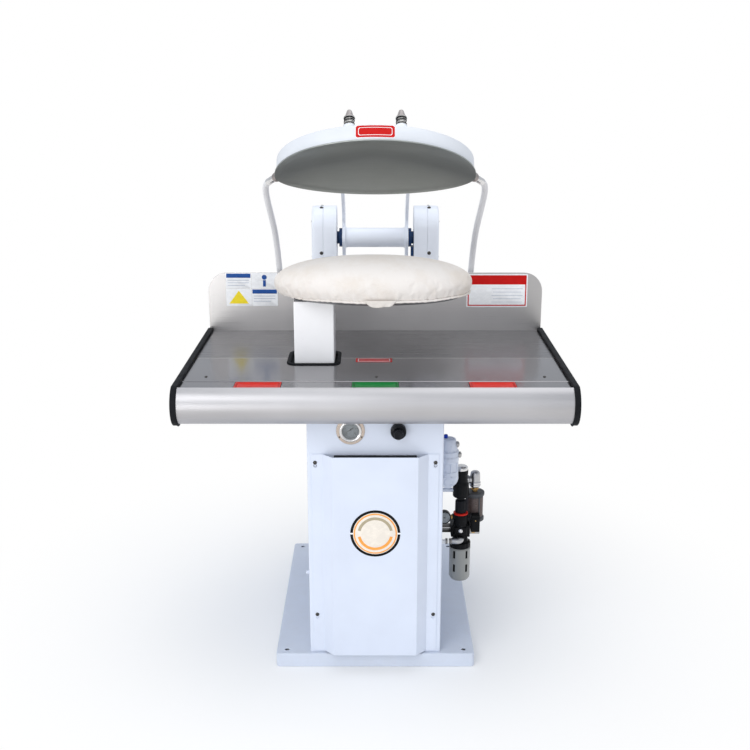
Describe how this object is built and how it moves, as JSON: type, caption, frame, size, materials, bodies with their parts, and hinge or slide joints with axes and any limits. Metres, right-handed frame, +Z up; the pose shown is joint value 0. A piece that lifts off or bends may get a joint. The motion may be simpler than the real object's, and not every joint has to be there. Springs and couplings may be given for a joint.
{
  "type": "mushroom ironing press",
  "caption": "Steam ironing press with a padded mushroom buck on a post, a polished head that swings down on a yoke, a stainless table with push plates, and a sheet-metal column.",
  "frame": {"origin": "on the floor, midway between the end trims' front and the air cylinder's rear, on the plane midway between the table's ends", "axes": "+Z up, -Y towards the operator, +X to the operator's right"},
  "size_m": [1.1474, 0.9, 1.6547],
  "materials": {
    "painted_white": "satin powder coat",
    "brushed_stainless": "brushed",
    "polished_plate": "ground and polished",
    "chrome": "plated",
    "machined_steel": "turned",
    "black_rubber": "moulded",
    "black_plastic": "moulded",
    "red_plastic": "moulded",
    "green_plastic": "moulded",
    "pad_cloth": "woven cotton",
    "casting": "sand cast",
    "hose_grey": "braided",
    "dark_bush": "moulded nylon",
    "bronze_bezel": "brushed bronze",
    "clear_lens": "clear",
    "guard_grey": "satin",
    "coil_grey": "wrapped coil"
  },
  "bodies": {
    "frame": {"base_pan": "painted_white", "column_shell": "painted_white", "front_cover": "painted_white", "rear_cover": "painted_white", "deck_plate": "painted_white", "buck_post": "painted_white", "tower_left": "painted_white", "tower_right": "painted_white", "tower_cover_left": "painted_white", "tower_cover_right": "painted_white", "cylinder_bracket": "painted_white", "steam_valve": "painted_white", "table_rail_front": "painted_white", "table_rail_rear": "painted_white", "table_rear_panel": "brushed_stainless", "table_front_panel": "brushed_stainless", "table_nose": "brushed_stainless", "splash_panel": "brushed_stainless", "steam_pipe_left": "machined_steel", "steam_pipe_right": "machined_steel", "air_tube": "machined_steel", "solenoid_valve": "machined_steel", "end_trim_left": "black_rubber", "end_trim_right": "black_rubber", "slot_edging": "black_rubber", "regulator_body": "black_plastic", "side_gauge": "black_plastic", "pilot_valve": "black_plastic", "button_frame_left": "red_plastic", "button_frame_right": "red_plastic", "button_frame_centre": "green_plastic", "buck_pad": "pad_cloth", "buck_casting": "casting", "steam_hose_left": "hose_grey", "steam_hose_right": "hose_grey", "bush_left": "dark_bush", "bush_right": "dark_bush", "gauge_case": "bronze_bezel", "gauge_lens": "clear_lens", "filter_guard": "guard_grey", "solenoid_coil": "coil_grey"},
    "head": {"yoke": "painted_white", "pivot_shaft": "machined_steel", "lever_pin": "machined_steel", "head_plate": "polished_plate", "head_shell": "painted_white", "head_bolt_left": "machined_steel", "head_bolt_right": "machined_steel", "head_spring_left": "chrome", "head_spring_right": "chrome", "head_union_left": "chrome", "head_union_right": "chrome"},
    "cylinder": {"cylinder_barrel": "painted_white"},
    "rod": {"piston_rod": "machined_steel"},
    "push_plate_left": {"button_left": "red_plastic"},
    "push_plate_centre": {"button_centre": "green_plastic"},
    "push_plate_right": {"button_right": "red_plastic"},
    "needle": {"gauge_needle": "black_plastic"},
    "pressure_knob": {"panel_knob": "black_plastic"},
    "air_knob": {"regulator_knob": "black_plastic"}
  },
  "joints": [
    {"name": "head_swing", "type": "hinge", "parent": "frame", "child": "head", "pos_m": [0, 0.38, 1.2178], "axis": [1, 0, 0], "range_deg": [0, 37.3], "stiffness_Nm_per_rad": 300, "springref_deg": -34.38, "deforming": ["steam_hose_left", "steam_hose_right"]},
    {"name": "cylinder_swing", "type": "hinge", "parent": "frame", "child": "cylinder", "pos_m": [0, 0.42, 0.68], "axis": [1, 0, 0], "range_deg": [-5.8, 0]},
    {"name": "rod_slide", "type": "slide", "parent": "cylinder", "child": "rod", "axis": [0, 0, 1], "range_m": [0, 0.042]},
    {"name": "left_push_plate", "type": "slide", "parent": "frame", "child": "push_plate_left", "axis": [0, 0, -1], "range_m": [0, 0.004], "stiffness_N_per_m": 1500, "springref_m": -0.002},
    {"name": "centre_push_plate", "type": "slide", "parent": "frame", "child": "push_plate_centre", "axis": [0, 0, -1], "range_m": [0, 0.004], "stiffness_N_per_m": 1500, "springref_m": -0.002},
    {"name": "right_push_plate", "type": "slide", "parent": "frame", "child": "push_plate_right", "axis": [0, 0, -1], "range_m": [0, 0.004], "stiffness_N_per_m": 1500, "springref_m": -0.002},
    {"name": "needle_turn", "type": "hinge", "parent": "frame", "child": "needle", "pos_m": [-0.072, -0.345, 0.7645], "axis": [0, 1, 0], "range_deg": [0, 270], "stiffness_Nm_per_rad": 0.002},
    {"name": "pressure_knob_turn", "type": "hinge", "parent": "frame", "child": "pressure_knob", "pos_m": [0.067, -0.345, 0.7655], "axis": [0, 1, 0], "range_deg": [-135, 135]},
    {"name": "air_knob_turn", "type": "hinge", "parent": "frame", "child": "air_knob", "pos_m": [0.279, -0.045, 0.3836], "axis": [0, 0, 1], "range_deg": [-360, 360]}
  ],
  "couplings": [
    {"joint": "cylinder_swing", "follows": "head_swing", "ratio": -0.15441},
    {"joint": "rod_slide", "follows": "head_swing", "m_per_rad": 0.06412}
  ]
}
